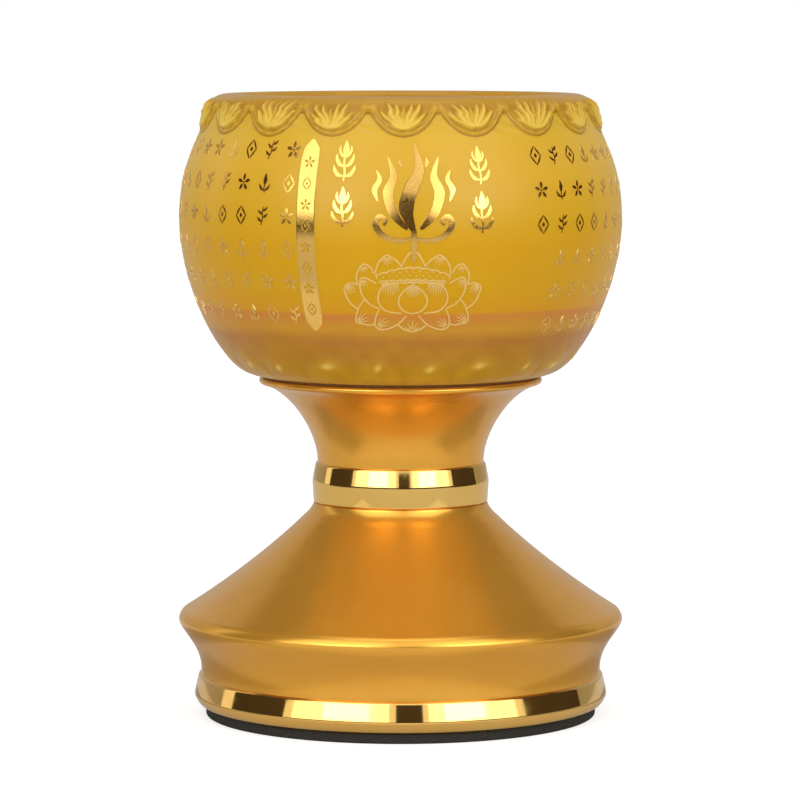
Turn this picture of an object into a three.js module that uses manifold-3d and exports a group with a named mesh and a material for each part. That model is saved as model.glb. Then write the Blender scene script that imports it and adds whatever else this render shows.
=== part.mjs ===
// Candle holder: a frosted amber glass bowl that stands in the mouth of a turned metal stand.
// Millimetres, +Z up. The origin is the middle of the pad's underside, on the table.
// The front of the bowl faces -Y.

import * as THREE from 'three';
import { mergeVertices } from 'three/addons/utils/BufferGeometryUtils.js';
import Module from 'manifold-3d';

const wasm = await Module();
wasm.setup();

// Clearances
const gap = 0.3;
const threadGap = 0.15;

// Foam pad and the steel plate above it
const padInset = 0.6;
const padThickness = 2;
const padRounding = 0.4;
const plateThickness = 1;

// Polished ring at the foot of the stand
const ringHeight = 6.6;
const ringFootInset = 0.4;
const ringBulgeLow = 1.9;
const ringBulgeHigh = 1.25;
const ringBulgeInset = 1.5;
const ringWall = 2.3;

// Skirt, drawn in to a waist above the ring and flared out to the lip
const skirtHeight = 10.8;
const waistRadius = 41;
const skirtWall = 2.3;
const coveDepth = 0.5;
const coveFlare = 0.7;
const flangeThickness = 1.8;
const flangeWidth = 3;

// Cone, from the lip up to the collar
const coneHeight = 24.3;
const lipRadius = 45.64;
const lipThickness = 2.2;
const lipRounding = 0.22;
const lipLand = 2.4;
const flareRadius = 34;
const flareRise = 8.8;
const shoulderBendRadius = 23.1;
const shoulderBendDrop = 6.4;
const coneInset = 0.15;
const coneTopLand = 0.8;
const coneWall = 2;

// Polished collar between the cone and the neck
const collarHeight = 8.2;
const collarRadius = 17.95;
const collarSwell = 0.1;
const collarTaper = 0.3;
const collarEdge = 0.5;
const collarWall = 3.6;
const spigotHeight = 1.5;

// Neck, a trumpet with a bead round its rim
const neckHeight = 17.5;
const neckInset = 0.95;
const neckBend = 6.3;
const rimRadius = 28.9;
const rimReach = 6.3;
const rimDip = 1.5;
const beadRadius = 0.7;
const rimLand = 4.8;
const neckWall = 1.8;

// Gasket and seat plate in the mouth of the neck
const gasketThickness = 0.5;
const seatThickness = 1.5;

// Glass bowl; heights are from the level that it stands on, drops are from its crest
const bowlHeight = 57.2;
const bowlRadius = 45.1;
const bellyHeight = 31.5;
const bellyEase = 12;
const footInset = 0.3;
const footSpread = 8.6;
const shoulderRadius = 39.4;
const shoulderDrop = 3.2;
const shoulderLean = 2.1;
const shoulderFall = 7.8;
const shoulderRoll = 0.8;
const mouthRadius = 33.4;
const crestLand = 1.6;
const throatDrop = 12.7;
const throatEase = 1;
const bowlWall = 4;
const floorHeight = 8.8;
const floorRounding = 6;
const bowlSpigotHeight = 2.4;
const bowlSpigotWall = 3.8;
const recessHeight = 0.6;
const bowlTurn = THREE.MathUtils.degToRad(1.5);

// Petals moulded round the rim and the foot of the bowl
const rimPetals = 18;
const rimPetalDepth = 0.8;
const rimTipDrop = 7.8;
const rimScallop = 2.8;
const footPetals = 21;
const footPetalDepth = 0.5;
const footPetalHeight = 6.4;
const footScallop = 4.4;
const petalEdge = 0.6;
const petalBlend = 4;
const petalValley = 0.6;

// Tie rod, with its nuts and washers
const rodRadius = 3;
const rodStub = 0.8;
const rodHeadroom = 0.8;
const rodChamfer = 0.6;
const nutFlats = 10;
const nutHeight = 5;
const jamNutHeight = 3.2;
const washerRadius = 6;
const washerThickness = 1.2;
const springWasherThickness = 1.5;
const springWasherSlit = THREE.MathUtils.degToRad(8);

// Facets round a turned piece and round a small one; the bowl's suit both rows of petals
const turnedFacets = 48;
const smallFacets = 24;
const bowlFacets = 126;
const cavityFacets = 42;

// Levels up the stand, from the table
const ringBottom = padThickness;
const skirtBottom = ringBottom + ringHeight;
const coneBottom = skirtBottom + skirtHeight;
const collarBottom = coneBottom + coneHeight;
const neckBottom = collarBottom + collarHeight;
const rimLevel = neckBottom + neckHeight;
const footLevel = rimLevel + gasketThickness;

// Levels of the tie rod's parts, worked out from the two ends of the stand
const rodTop = footLevel + recessHeight - rodHeadroom;
const jamNutTop = rodTop - rodStub;
const topWasherTop = jamNutTop - jamNutHeight;
const seatTop = topWasherTop - washerThickness;
const seatBottom = seatTop - seatThickness;
const rodBottom = ringBottom + plateThickness + gap;
const nutBottom = rodBottom + rodStub;
const springWasherBottom = nutBottom + nutHeight;
const washerBottom = springWasherBottom + springWasherThickness;
const ballastBottom = washerBottom + washerThickness;
const ballastTop = coneBottom - flangeThickness;

// Radii that several pieces share
const rodHole = rodRadius + gap;
const lipEdge = lipRadius - lipRounding;
const collarBore = collarRadius - collarWall;
const spigotRadius = collarBore - gap;
const spigotBore = spigotRadius - neckWall;
const skirtBore = waistRadius - skirtWall;
const ringFootRadius = waistRadius - ringFootInset;
const ringBore = ringFootRadius - ringWall;
const padRadius = ringFootRadius - padInset;
const coneTopRadius = collarRadius - coneInset;
const neckRadius = collarRadius - neckInset;
const socketRadius = rimRadius - rimLand;
const bowlSpigotRadius = socketRadius - gap;
const bowlRecessRadius = bowlSpigotRadius - bowlSpigotWall;
const footRadius = rimRadius - footInset;
const crestRadius = mouthRadius + crestLand;

const finishes = {
  glass: new THREE.MeshStandardMaterial({ color: 0xd9a52c, roughness: 0.45, metalness: 0 }),
  lacquer: new THREE.MeshStandardMaterial({ color: 0xcc8233, roughness: 0.42, metalness: 0.7 }),
  polish: new THREE.MeshStandardMaterial({ color: 0xf2c860, roughness: 0.08, metalness: 1 }),
  rubber: new THREE.MeshStandardMaterial({ color: 0x8c8478, roughness: 0.7, metalness: 0 }),
  foam: new THREE.MeshStandardMaterial({ color: 0x35322e, roughness: 0.95, metalness: 0 }),
  steel: new THREE.MeshStandardMaterial({ color: 0xa9adb2, roughness: 0.35, metalness: 1 }),
  iron: new THREE.MeshStandardMaterial({ color: 0x4a4a4c, roughness: 0.8, metalness: 0.6 }),
};

function point(radius, height) {
  return new THREE.Vector2(radius, height);
}

// Evenly spaced values, both ends included
function spread(from, to, steps) {
  const values = [];
  for (let i = 0; i <= steps; i += 1) {
    values.push(THREE.MathUtils.lerp(from, to, i / steps));
  }
  return values;
}

// Points along a curve, both ends included
function along(curve, steps) {
  return spread(0, 1, steps).map((share) => curve.getPoint(share));
}

// Radius of an outline that rises steadily, at one height
function radiusAt(points, height) {
  for (let i = 1; i < points.length; i += 1) {
    const low = points[i - 1];
    const high = points[i];
    if (height >= low.y && height <= high.y) {
      return low.x + (high.x - low.x) * (height - low.y) / (high.y - low.y);
    }
  }
  throw new Error(`no outline at height ${height}`);
}

// Turn an outline of radius and height round the Z axis; it runs up on its outer side
function revolve(points, facets) {
  const geometry = new THREE.LatheGeometry(points, facets);
  geometry.rotateX(Math.PI / 2);
  return geometry;
}

function closed(points) {
  return [...points, points[0].clone()];
}

function piece(name, geometry, finish) {
  const mesh = new THREE.Mesh(geometry, finish);
  mesh.name = name;
  return mesh;
}

// Flat round piece with a straight hole, such as a washer
function flatRing(inner, outer, bottom, top, facets) {
  const section = [point(inner, bottom), point(outer, bottom), point(outer, top), point(inner, top)];
  return revolve(closed(section), facets);
}

function foamPad() {
  const section = [
    point(0, 0),
    point(padRadius - padRounding, 0),
    point(padRadius, padRounding),
    point(padRadius, padThickness - padRounding),
    point(padRadius - padRounding, padThickness),
    point(0, padThickness),
  ];
  return piece('foam_pad', revolve(section, turnedFacets), finishes.foam);
}

function bottomPlate() {
  const radius = ringBore - gap;
  const top = ringBottom + plateThickness;
  const section = [point(0, ringBottom), point(radius, ringBottom), point(radius, top), point(0, top)];
  return piece('bottom_plate', revolve(section, turnedFacets), finishes.steel);
}

function baseRing() {
  const bulge = new THREE.CubicBezierCurve(
    point(ringFootRadius, ringBottom),
    point(ringFootRadius + ringBulgeLow, ringBottom + ringBulgeInset),
    point(waistRadius + ringBulgeHigh, skirtBottom - ringBulgeInset * 1.75),
    point(waistRadius, skirtBottom),
  );
  const section = [
    ...along(bulge, 6),
    point(ringBore, skirtBottom),
    point(ringBore, ringBottom),
  ];
  return piece('base_ring', revolve(closed(section), turnedFacets), finishes.polish);
}

// The skirt's outer side, and its inner wall from the foot up to the flange
function skirtOutside() {
  const cove = new THREE.CubicBezierCurve(
    point(waistRadius, skirtBottom),
    point(waistRadius - coveDepth, skirtBottom + skirtHeight * 0.5),
    point(lipEdge - coveFlare, coneBottom - skirtHeight * 0.2),
    point(lipEdge, coneBottom),
  );
  return along(cove, 6);
}

function skirtInside() {
  const outside = skirtOutside();
  return spread(skirtBottom, ballastTop, 4)
    .map((height) => point(radiusAt(outside, height) - skirtWall, height));
}

function baseSkirt() {
  const flangeRadius = skirtBore - flangeWidth;
  const section = [
    ...skirtOutside(),
    point(flangeRadius, coneBottom),
    point(flangeRadius, ballastTop),
    ...skirtInside().reverse(),
  ];
  return piece('base_skirt', revolve(closed(section), turnedFacets), finishes.lacquer);
}

function ballastDisc() {
  const narrowest = Math.min(...skirtInside().map((corner) => corner.x));
  const disc = flatRing(rodHole, narrowest - gap, ballastBottom, ballastTop, turnedFacets);
  return piece('ballast_disc', disc, finishes.iron);
}

function baseCone() {
  const noseTop = point(lipRadius - lipThickness / 2, coneBottom + lipThickness);
  const nose = new THREE.QuadraticBezierCurve(
    point(lipEdge, coneBottom),
    point(lipRadius + lipRounding, coneBottom + lipThickness / 2),
    noseTop,
  );
  const flare = point(flareRadius, coneBottom + flareRise);
  const bend = point(shoulderBendRadius, collarBottom - shoulderBendDrop);
  const slope = new THREE.CubicBezierCurve(
    noseTop,
    flare,
    bend,
    point(coneTopRadius, collarBottom - coneTopLand),
  );
  const underside = new THREE.CubicBezierCurve(
    point(coneTopRadius - coneWall, collarBottom - coneWall),
    bend.clone().subScalar(coneWall),
    flare.clone().subScalar(coneWall),
    point(lipEdge - lipLand, coneBottom),
  );
  const section = [
    ...along(nose, 3),
    ...along(slope, 6).slice(1),
    point(coneTopRadius, collarBottom),
    point(spigotRadius, collarBottom),
    point(spigotRadius, collarBottom + spigotHeight),
    point(rodHole, collarBottom + spigotHeight),
    point(rodHole, collarBottom - coneWall),
    ...along(underside, 4),
  ];
  return piece('base_cone', revolve(closed(section), turnedFacets), finishes.lacquer);
}

function collarRing() {
  const face = new THREE.QuadraticBezierCurve(
    point(collarRadius - collarSwell, collarBottom + collarEdge),
    point(collarRadius + collarSwell, collarBottom + collarHeight * 0.6),
    point(collarRadius - collarTaper, neckBottom - collarEdge),
  );
  const section = [
    point(collarBore, collarBottom),
    point(collarRadius - collarEdge, collarBottom),
    ...along(face, 3),
    point(collarRadius - collarTaper - collarEdge, neckBottom),
    point(collarBore, neckBottom),
  ];
  return piece('collar_ring', revolve(closed(section), turnedFacets), finishes.polish);
}

// The neck's outer curve, from the collar up to the crease under the bead
function neckCurve() {
  return new THREE.CubicBezierCurve(
    point(neckRadius, neckBottom),
    point(neckRadius, neckBottom + neckBend),
    point(rimRadius - rimReach, rimLevel - beadRadius * 2 - rimDip),
    point(rimRadius - beadRadius, rimLevel - beadRadius * 2),
  );
}

function neckTrumpet() {
  const outer = along(neckCurve(), 8);
  const bead = new THREE.EllipseCurve(
    rimRadius - beadRadius, rimLevel - beadRadius, beadRadius, beadRadius, -Math.PI / 2, Math.PI / 2,
  );
  const counterbore = radiusAt(outer, seatBottom) - neckWall;
  const socketBottom = footLevel - bowlSpigotHeight - gap;
  const section = [
    point(spigotBore, neckBottom - spigotHeight),
    point(spigotRadius, neckBottom - spigotHeight),
    point(spigotRadius, neckBottom),
    ...outer,
    ...along(bead, 3).slice(1),
    point(socketRadius, rimLevel),
    point(socketRadius, socketBottom),
    point(counterbore, seatTop),
    point(counterbore, seatBottom),
    point(spigotBore, seatBottom),
  ];
  return piece('neck_trumpet', revolve(closed(section), turnedFacets), finishes.lacquer);
}

function seatPlate() {
  const outer = along(neckCurve(), 8);
  const radius = radiusAt(outer, seatBottom) - neckWall - gap;
  const plate = flatRing(rodHole, radius, seatBottom, seatTop, turnedFacets);
  return piece('seat_plate', plate, finishes.steel);
}

function bowlGasket() {
  const radius = rimRadius - beadRadius * 2;
  const ring = flatRing(socketRadius, radius, rimLevel, footLevel, turnedFacets);
  return piece('bowl_gasket', ring, finishes.rubber);
}

// How far across a petal an azimuth lies: 0 in its middle, 1 where it meets the next one
function acrossPetal(azimuth, count, middle) {
  const turns = (azimuth - middle) * count / (2 * Math.PI);
  return Math.abs(turns - Math.round(turns)) * 2;
}

// How far a height lies between two others, eased at both ends
function between(low, high, height) {
  return THREE.MathUtils.smoothstep(height, low, high);
}

// Pointed petals that hang from the rim: how far a point moves up with their edge, and out
function rimRelief(azimuth, height) {
  const across = acrossPetal(azimuth, rimPetals, 0);
  const tip = bowlHeight - rimTipDrop;
  const shoulder = bowlHeight - shoulderDrop;
  const follow = between(tip - petalBlend, tip, height) - between(tip + petalEdge, shoulder, height);
  const raise = between(tip, tip + petalEdge, height) - between(tip + petalEdge, shoulder, height);
  return {
    up: rimScallop * across ** 1.5 * follow,
    out: rimPetalDepth * (1 - petalValley * across ** 4) * raise,
  };
}

// Lancet petals that stand up from the foot, moved down between their tips
function footRelief(azimuth, height) {
  const across = acrossPetal(azimuth, footPetals, Math.PI / footPetals);
  const edge = footPetalHeight + petalEdge;
  const follow = Math.min(1, height / footPetalHeight) - between(edge, edge + petalBlend, height);
  const raise = between(0, petalEdge, height) - between(footPetalHeight, edge, height);
  return {
    up: -footScallop * across ** 2 * follow,
    out: footPetalDepth * (1 - petalValley * across ** 4) * raise,
  };
}

// Press the petals into a turned solid whose outer side follows the outline
function mouldPetals(geometry, outline) {
  const position = geometry.getAttribute('position');
  for (let i = 0; i < position.count; i += 1) {
    const x = position.getX(i);
    const y = position.getY(i);
    const height = position.getZ(i);
    const radius = Math.hypot(x, y);
    if (height > 0 && height < bowlHeight && radius > crestRadius - bowlWall) {
      const azimuth = Math.atan2(x, -y);
      const rim = rimRelief(azimuth, height);
      const foot = footRelief(azimuth, height);
      const moved = height + rim.up + foot.up;
      const share = (radiusAt(outline, moved) + rim.out + foot.out) / radius;
      position.setXYZ(i, x * share, y * share, moved);
    }
  }
  return geometry;
}

function solidOf(geometry) {
  const bare = new THREE.BufferGeometry();
  bare.setAttribute('position', geometry.getAttribute('position'));
  bare.setIndex(geometry.getIndex());
  const merged = mergeVertices(bare, 1e-4);
  const index = merged.getIndex().array;
  const triangles = [];
  for (let i = 0; i < index.length; i += 3) {
    const [a, b, c] = [index[i], index[i + 1], index[i + 2]];
    if (a !== b && b !== c && c !== a) {
      triangles.push(a, b, c);
    }
  }
  return new wasm.Manifold(new wasm.Mesh({
    numProp: 3,
    vertProperties: new Float32Array(merged.getAttribute('position').array),
    triVerts: new Uint32Array(triangles),
  }));
}

function geometryOf(solid) {
  const mesh = solid.getMesh();
  const geometry = new THREE.BufferGeometry();
  geometry.setAttribute('position', new THREE.BufferAttribute(mesh.vertProperties, 3));
  geometry.setIndex(new THREE.BufferAttribute(mesh.triVerts, 1));
  geometry.computeVertexNormals();
  return geometry;
}

// The bowl's outer side, from the level that it stands on up to its crest
function bowlCurves() {
  const lower = new THREE.CubicBezierCurve(
    point(footRadius, 0),
    point(footRadius + footSpread, 0),
    point(bowlRadius, bellyHeight - bellyEase),
    point(bowlRadius, bellyHeight),
  );
  const shoulderHeight = bowlHeight - shoulderDrop;
  const upper = new THREE.CubicBezierCurve(
    point(bowlRadius, bellyHeight),
    point(bowlRadius, bellyHeight + bellyEase),
    point(shoulderRadius + shoulderLean, shoulderHeight - shoulderFall),
    point(shoulderRadius, shoulderHeight),
  );
  const shoulder = new THREE.QuadraticBezierCurve(
    point(shoulderRadius, shoulderHeight),
    point(shoulderRadius - shoulderRoll, bowlHeight),
    point(crestRadius, bowlHeight),
  );
  return { lower, upper, shoulder };
}

function glassBowl() {
  const { lower, upper, shoulder } = bowlCurves();
  const outside = [...along(lower, 20), ...along(upper, 20).slice(1), ...along(shoulder, 6).slice(1)];
  const footTip = footPetalHeight + petalEdge;
  const rimTip = bowlHeight - rimTipDrop;
  const rows = [
    ...spread(0, footPetalHeight, 4),
    footTip,
    ...spread(footTip + petalBlend / 2, rimTip - petalBlend / 2, 6),
    rimTip,
    ...spread(rimTip + petalEdge, bowlHeight - shoulderDrop, 3),
  ];
  const side = rows.map((height) => point(radiusAt(outside, height), height));
  const body = revolve([
    point(0, recessHeight),
    point(bowlRecessRadius, recessHeight),
    point(bowlRecessRadius, -bowlSpigotHeight),
    point(bowlSpigotRadius, -bowlSpigotHeight),
    point(bowlSpigotRadius, 0),
    ...side,
    ...along(shoulder, 3).slice(1),
    point(0, bowlHeight),
  ], bowlFacets);

  // The inner wall lies one wall's thickness inside the outer one, up to the throat
  const inside = spread(floorHeight + floorRounding, bowlHeight - throatDrop, 4)
    .map((height) => point(radiusAt(outside, height) - bowlWall, height));
  const wallFoot = inside[0];
  const wallTop = inside.at(-1);
  const corner = new THREE.QuadraticBezierCurve(
    point(wallFoot.x - floorRounding, floorHeight),
    point(wallFoot.x - throatEase, floorHeight),
    wallFoot,
  );
  const throat = new THREE.QuadraticBezierCurve(
    wallTop,
    point(wallTop.x - throatEase, bowlHeight - shoulderDrop),
    point(mouthRadius, bowlHeight - throatEase),
  );
  const cavity = revolve([
    point(0, floorHeight),
    ...along(corner, 4),
    ...inside.slice(1),
    ...along(throat, 3).slice(1),
    point(mouthRadius, bowlHeight + throatEase),
    point(0, bowlHeight + throatEase),
  ], cavityFacets);

  const glass = solidOf(mouldPetals(body, outside)).subtract(solidOf(cavity));
  const mesh = piece('glass_bowl', geometryOf(glass), finishes.glass);
  mesh.position.z = footLevel;
  mesh.rotation.z = bowlTurn;
  return mesh;
}

function tieRod() {
  const section = [
    point(0, rodBottom),
    point(rodRadius - rodChamfer, rodBottom),
    point(rodRadius, rodBottom + rodChamfer),
    point(rodRadius, rodTop - rodChamfer),
    point(rodRadius - rodChamfer, rodTop),
    point(0, rodTop),
  ];
  return piece('tie_rod', revolve(section, smallFacets), finishes.steel);
}

function hexNut(name, bottom, height) {
  const cornerRadius = nutFlats / Math.sqrt(3);
  const corners = [];
  for (let i = 0; i < 6; i += 1) {
    const angle = i * Math.PI / 3;
    corners.push(new THREE.Vector2(cornerRadius * Math.cos(angle), cornerRadius * Math.sin(angle)));
  }
  const shape = new THREE.Shape(corners);
  const hole = new THREE.Path();
  hole.absarc(0, 0, rodRadius + threadGap, 0, 2 * Math.PI, true);
  shape.holes.push(hole);
  const options = { depth: height, bevelEnabled: false, curveSegments: smallFacets / 2 };
  const mesh = piece(name, new THREE.ExtrudeGeometry(shape, options), finishes.steel);
  mesh.position.z = bottom;
  return mesh;
}

function springWasher() {
  const shape = new THREE.Shape();
  shape.absarc(0, 0, nutFlats / 2, springWasherSlit / 2, 2 * Math.PI - springWasherSlit / 2, false);
  shape.absarc(0, 0, rodHole, 2 * Math.PI - springWasherSlit / 2, springWasherSlit / 2, true);
  shape.closePath();
  const options = { depth: springWasherThickness, bevelEnabled: false, curveSegments: smallFacets / 2 };
  const mesh = piece('spring_washer', new THREE.ExtrudeGeometry(shape, options), finishes.steel);
  mesh.position.z = springWasherBottom;
  return mesh;
}

function flatWasher(name, bottom) {
  const ring = flatRing(rodHole, washerRadius, bottom, bottom + washerThickness, smallFacets);
  return piece(name, ring, finishes.steel);
}

const candleHolder = new THREE.Group();
candleHolder.add(
  foamPad(),
  bottomPlate(),
  baseRing(),
  baseSkirt(),
  ballastDisc(),
  baseCone(),
  collarRing(),
  neckTrumpet(),
  seatPlate(),
  bowlGasket(),
  tieRod(),
  flatWasher('top_washer', seatTop),
  hexNut('jam_nut', topWasherTop, jamNutHeight),
  flatWasher('bottom_washer', washerBottom),
  springWasher(),
  hexNut('bottom_nut', nutBottom, nutHeight),
  glassBowl(),
);

export default candleHolder;
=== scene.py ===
import math

import bmesh
import bpy
import numpy as np
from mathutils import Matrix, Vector

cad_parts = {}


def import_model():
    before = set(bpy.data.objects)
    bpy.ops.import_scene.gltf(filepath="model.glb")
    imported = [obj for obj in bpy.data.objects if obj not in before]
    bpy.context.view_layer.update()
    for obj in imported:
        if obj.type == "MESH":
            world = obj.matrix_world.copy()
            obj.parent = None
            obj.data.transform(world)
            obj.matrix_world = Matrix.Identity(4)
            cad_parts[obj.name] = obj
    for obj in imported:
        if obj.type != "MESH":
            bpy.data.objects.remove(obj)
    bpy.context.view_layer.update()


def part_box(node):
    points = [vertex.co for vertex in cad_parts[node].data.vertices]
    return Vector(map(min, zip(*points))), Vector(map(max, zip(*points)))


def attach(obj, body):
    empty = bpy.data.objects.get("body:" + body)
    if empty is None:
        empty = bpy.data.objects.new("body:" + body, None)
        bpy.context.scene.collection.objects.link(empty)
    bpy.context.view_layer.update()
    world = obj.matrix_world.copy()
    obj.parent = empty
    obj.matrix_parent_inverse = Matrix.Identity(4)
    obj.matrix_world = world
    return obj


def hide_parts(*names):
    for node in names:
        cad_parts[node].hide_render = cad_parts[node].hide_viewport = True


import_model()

MM = 0.001

# Facets round a large turned piece, round the bowl (a multiple of its petals) and round a small piece
TURNED_FACETS = 240
BOWL_FACETS = 1008
SMALL_FACETS = 72
SHARP_ANGLE = math.radians(38)


def levels(node):
    """Lowest and highest level of a CAD node, in millimetres."""
    low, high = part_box(node)
    return low.z / MM, high.z / MM


def reach(node):
    """Largest radius of a CAD node, in millimetres."""
    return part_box(node)[1].x / MM


def srgb(red, green, blue):
    """Linear colour of an 8-bit screen colour."""
    linear = []
    for value in (red, green, blue):
        share = value / 255
        linear.append(share / 12.92 if share <= 0.04045 else ((share + 0.055) / 1.055) ** 2.4)
    return (*linear, 1.0)


# Curves and outlines

def bezier(controls, steps):
    """Points along a Bezier curve of any order, both ends included."""
    made = []
    for i in range(steps + 1):
        level = [Vector(c) for c in controls]
        while len(level) > 1:
            level = [a.lerp(b, i / steps) for a, b in zip(level, level[1:])]
        made.append(tuple(level[0]))
    return made


def smooth_path(points, steps):
    """Points along a smooth line through the given ones."""
    ends = [points[0], *points, points[-1]]
    made = []
    for i in range(1, len(ends) - 2):
        p0, p1, p2, p3 = (np.array(ends[k], float) for k in range(i - 1, i + 3))
        square = 2 * p0 - 5 * p1 + 4 * p2 - p3
        cube = 3 * p1 - p0 - 3 * p2 + p3
        for k in range(steps):
            t = k / steps
            made.append(0.5 * (2 * p1 + (p2 - p0) * t + square * t ** 2 + cube * t ** 3))
    made.append(np.array(points[-1], float))
    return np.array(made)


def rounded(outline, steps=4):
    """Round each corner of an outline that carries a third number, its radius."""
    made = []
    for i, corner in enumerate(outline):
        if len(corner) == 2:
            made.append(corner)
            continue
        here = Vector(corner[:2])
        before = Vector(outline[i - 1][:2])
        after = Vector(outline[(i + 1) % len(outline)][:2])
        start = here + (before - here).normalized() * corner[2]
        end = here + (after - here).normalized() * corner[2]
        made += bezier([start, here, end], steps)
    return made


def smoothstep(low, high, value):
    share = np.clip((value - low) / (high - low), 0, 1)
    return share * share * (3 - 2 * share)


def hump(value, middle, half_width):
    """A smooth ridge, 1 at its middle and 0 half a width away."""
    return smoothstep(0, 1, 1 - np.abs(value - middle) / half_width)


# Meshes

def mesh_object(name, points, faces, material):
    """An object in the scene from points in metres."""
    mesh = bpy.data.meshes.new(name)
    mesh.from_pydata([tuple(p) for p in points], [], faces)
    mesh.materials.append(material)
    made = bpy.data.objects.new(name, mesh)
    bpy.context.scene.collection.objects.link(made)
    return made


def mesh_piece(name, points, faces, body, material, node=None):
    """A piece of the object from points in metres, riding on a body and standing for a CAD node."""
    made = mesh_object(name, points, faces, material)
    made.data.polygons.foreach_set("use_smooth", [True] * len(faces))
    made.data.update()
    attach(made, body)
    if node:
        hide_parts(node)
    return made


def mark_sharp_edges(made, angle=SHARP_ANGLE):
    work = bmesh.new()
    work.from_mesh(made.data)
    for edge in work.edges:
        if len(edge.link_faces) == 2 and edge.calc_face_angle(0) > angle:
            edge.smooth = False
    work.to_mesh(made.data)
    work.free()


def revolve(rings, facets):
    """Points and faces from rings of points; a ring of one point lies on the axis.

    The rings run anticlockwise in radius and height, from axis to axis or round a closed section."""
    points = []
    starts = []
    for ring in rings:
        starts.append(len(points))
        points.extend(ring)
    pairs = list(zip(range(len(rings)), range(1, len(rings))))
    if len(rings[0]) > 1:
        pairs.append((len(rings) - 1, 0))
    faces = []
    for low, high in pairs:
        for i in range(facets):
            j = (i + 1) % facets
            if len(rings[low]) == 1:
                faces.append((starts[low], starts[high] + j, starts[high] + i))
            elif len(rings[high]) == 1:
                faces.append((starts[low] + i, starts[low] + j, starts[high]))
            else:
                faces.append((starts[low] + i, starts[low] + j, starts[high] + j, starts[high] + i))
    return points, faces


def azimuths(facets):
    """Directions round the object, from the front, -Y, towards +X."""
    return np.arange(facets) * 2 * math.pi / facets


def ring_of(radii, heights, facets):
    """One ring of points in metres; radii and heights are numbers or one value for each facet."""
    turn = azimuths(facets)
    xyz = [radii * np.sin(turn), -radii * np.cos(turn), heights * np.ones(facets)]
    return list(np.stack(xyz, -1) * MM)


def turned(name, outline, body, material, node, facets=TURNED_FACETS):
    """A turned piece from an outline of radius and height in millimetres."""
    rings = []
    for radius, height in outline:
        if radius < 1e-6:
            rings.append([(0, 0, height * MM)])
        else:
            rings.append(ring_of(radius, height, facets))
    points, faces = revolve(rings, facets)
    made = mesh_piece(name, points, faces, body, material, node)
    mark_sharp_edges(made)
    return made


# Materials

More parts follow.
